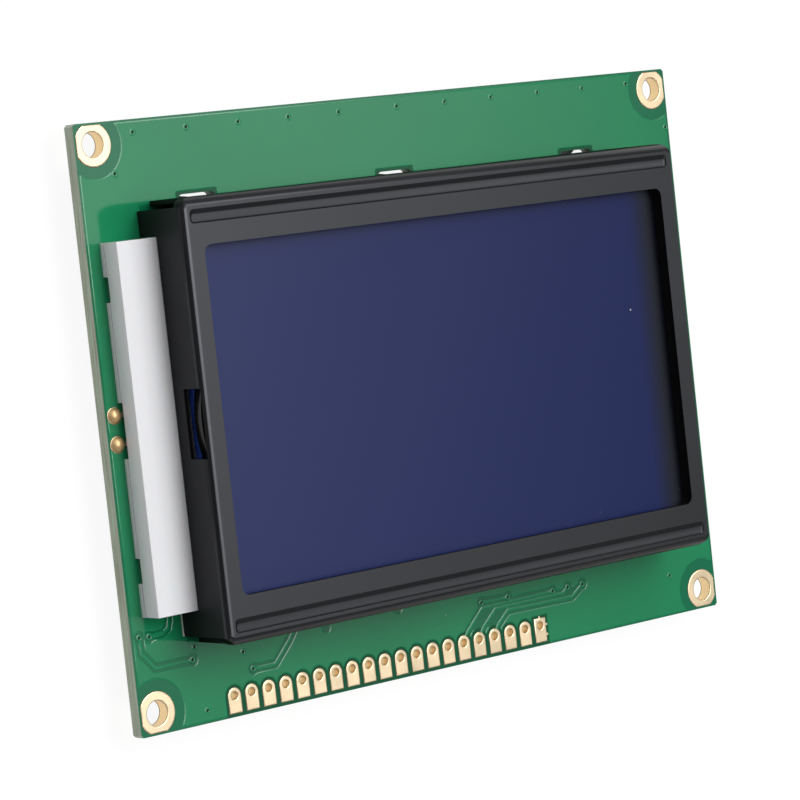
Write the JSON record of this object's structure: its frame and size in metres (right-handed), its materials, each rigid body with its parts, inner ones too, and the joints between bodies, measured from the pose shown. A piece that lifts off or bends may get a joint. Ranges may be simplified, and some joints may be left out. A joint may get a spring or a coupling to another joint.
{
  "type": "graphic lcd module",
  "caption": "Flat display module: a folded metal bezel with a blue screen window on a drilled circuit board, with a row of plated header pads along one edge.",
  "frame": {"origin": "under the middle of the circuit board, in the plane that the bezel's tab ends stand on", "axes": "+X along the long side of the board, +Y from the header pads to the opposite edge, +Z out of the display"},
  "size_m": [0.093, 0.07, 0.013],
  "materials": {
    "solder_mask": "glossy green solder mask over glass fibre laminate",
    "gold_plating": "satin gold plating",
    "black_paint": "satin black paint on folded steel",
    "foam": "black foam",
    "front_film": "dark blue film with an anti-glare surface",
    "cell_glass": "clear glass, tinted by the cell",
    "rear_film": "dark blue film",
    "seal_resin": "glossy black resin",
    "elastomer": "grey silicone strip",
    "white_plastic": "smooth white moulding",
    "white_film": "white film",
    "acrylic": "clear acrylic",
    "white_board": "white coated laminate",
    "lamp_body": "white package with yellow phosphor",
    "tinned_metal": "tinned strip",
    "solder": "smooth solder with a warm tint",
    "potting_resin": "black potting resin",
    "chip_package": "black moulded package",
    "resistor_body": "black glazed ceramic",
    "capacitor_body": "tan ceramic"
  },
  "bodies": {
    "root": {"circuit_board": "solder_mask", "mounting_pads": "gold_plating", "header_pads": "gold_plating", "bezel": "black_paint", "bezel_gasket": "foam", "lcd_front_polarizer": "front_film", "lcd_front_glass": "cell_glass", "lcd_rear_glass": "cell_glass", "lcd_rear_polarizer": "rear_film", "lcd_port_seal": "seal_resin", "contact_strip_top": "elastomer", "contact_strip_bottom": "elastomer", "backlight_housing": "white_plastic", "reflector_film": "white_film", "diffuser_film": "white_film", "light_guide": "acrylic", "lamp_board": "white_board", "lamps": "lamp_body", "backlight_pins": "tinned_metal", "backlight_solder": "solder", "controller_potting": "potting_resin", "left_driver_potting": "potting_resin", "right_driver_potting": "potting_resin", "voltage_converter": "chip_package", "converter_leads": "tinned_metal", "chip_resistors": "resistor_body", "chip_capacitors": "capacitor_body", "chip_end_caps": "tinned_metal"}
  },
  "joints": []
}
